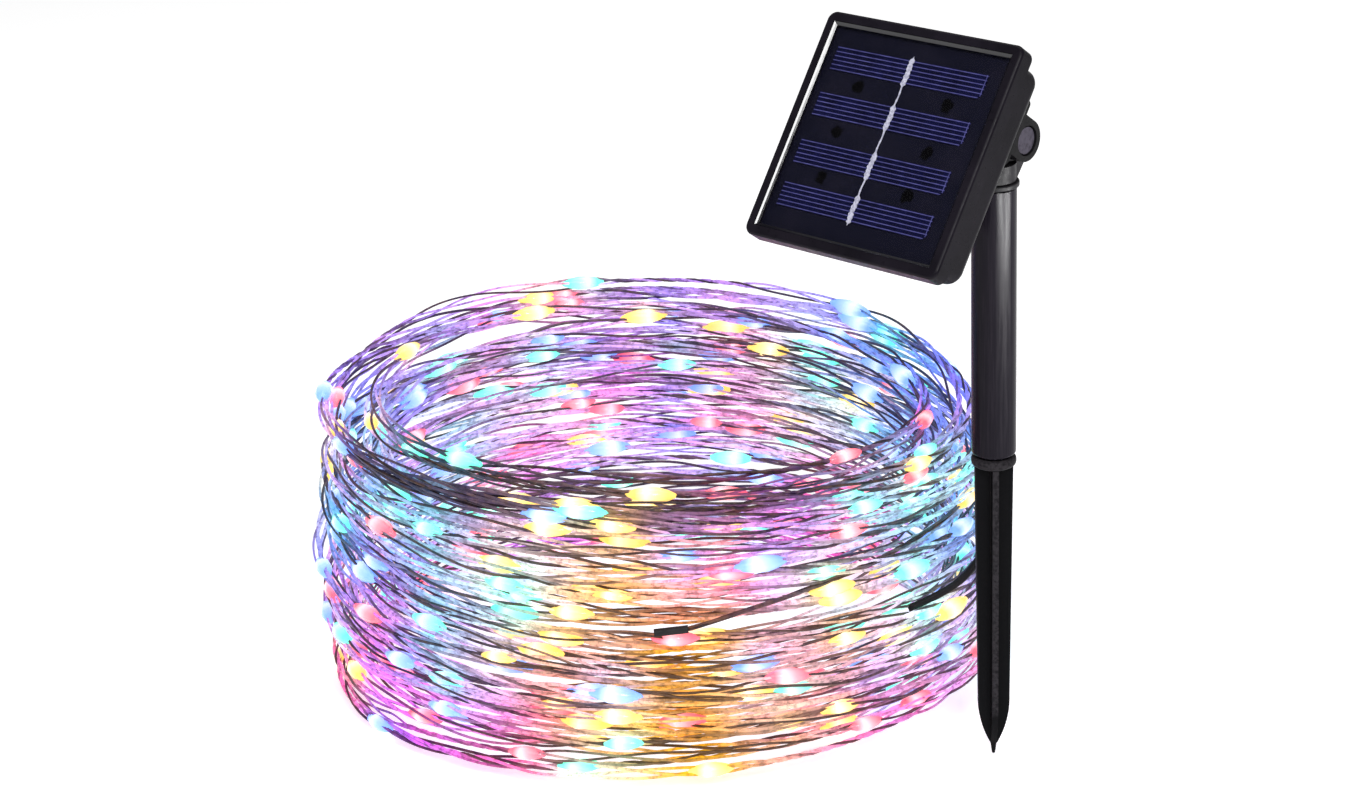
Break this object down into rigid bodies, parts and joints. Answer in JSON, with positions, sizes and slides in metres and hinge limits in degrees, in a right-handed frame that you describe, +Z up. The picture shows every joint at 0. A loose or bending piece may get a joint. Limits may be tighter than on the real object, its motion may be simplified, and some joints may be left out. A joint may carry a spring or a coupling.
{
  "type": "solar string light set",
  "caption": "Solar panel head that tilts and swivels on a ground stake, with a loose coil of fine wire carrying small moulded coloured lights.",
  "frame": {"origin": "tip of the ground spike, on the axis of the stake", "axes": "+Z up along the stake, -Y towards the viewer of the front, +X to the right"},
  "size_m": [0.2445, 0.2354, 0.2453],
  "materials": {
    "black_case": "satin",
    "black_hinge": "satin",
    "black_tube": "satin",
    "black_spike": "satin",
    "black_rubber": "matte",
    "button_rubber": "matte",
    "clear_cover": "gloss",
    "cell_backing": "gloss",
    "silicon_cell": "gloss",
    "tab_ribbon": "satin",
    "steel_screw": "satin",
    "grey_bolt": "satin",
    "battery_wrap": "gloss",
    "nickel_contact": "polished",
    "circuit_green": "satin",
    "chip_black": "matte",
    "ferrite": "matte",
    "capacitor_can": "satin",
    "switch_metal": "satin",
    "wire_red": "satin",
    "lead_jacket": "satin",
    "copper_string": "satin"
  },
  "bodies": {
    "stake": {"stake_tube": "black_tube", "ground_spike": "black_spike", "lead_lower": "lead_jacket", "light_string_coil": "copper_string", "string_end_cap": "black_rubber"},
    "neck": {"neck_knuckle": "black_hinge", "neck_ring": "black_rubber"},
    "solar_head": {"front_bezel": "black_case", "rear_case": "black_case", "lead_gland": "black_rubber", "case_gasket": "black_rubber", "panel_cover": "clear_cover", "cell_board": "cell_backing", "cell_ribbon": "tab_ribbon", "case_screws": "steel_screw", "bracket_screws": "steel_screw", "hinge_bracket": "black_hinge", "hinge_bolt": "grey_bolt", "hinge_washer": "steel_screw", "hinge_nut": "steel_screw", "battery_cell": "battery_wrap", "battery_plate": "nickel_contact", "battery_spring": "nickel_contact", "circuit_board": "circuit_green", "control_chip": "chip_black", "power_inductor": "ferrite", "smoothing_capacitor": "capacitor_can", "tact_switches": "switch_metal", "panel_wires": "wire_red", "lead_upper": "lead_jacket", "cell_strip_1": "silicon_cell", "cell_strip_2": "silicon_cell", "cell_strip_3": "silicon_cell", "cell_strip_4": "silicon_cell"},
    "power_button": {"power_button": "button_rubber"},
    "mode_button": {"mode_button": "button_rubber"}
  },
  "joints": [
    {"name": "neck_swivel", "type": "hinge", "parent": "stake", "child": "neck", "pos_m": [0, 0, 0.1976], "axis": [0, 0, 1], "range_deg": [-150, 150], "deforming": ["lead_lower"]},
    {"name": "head_tilt", "type": "hinge", "parent": "neck", "child": "solar_head", "pos_m": [0.00345, 0.00361, 0.2127], "axis": [-0.723, 0.6909, 0], "range_deg": [-10, 54], "deforming": ["lead_upper"]},
    {"name": "power_press", "type": "slide", "parent": "solar_head", "child": "power_button", "axis": [-0.5589, -0.5849, 0.5878], "range_m": [0, 0.0006], "stiffness_N_per_m": 800, "springref_m": -0.0008},
    {"name": "mode_press", "type": "slide", "parent": "solar_head", "child": "mode_button", "axis": [-0.5589, -0.5849, 0.5878], "range_m": [0, 0.0006], "stiffness_N_per_m": 800, "springref_m": -0.0008}
  ]
}
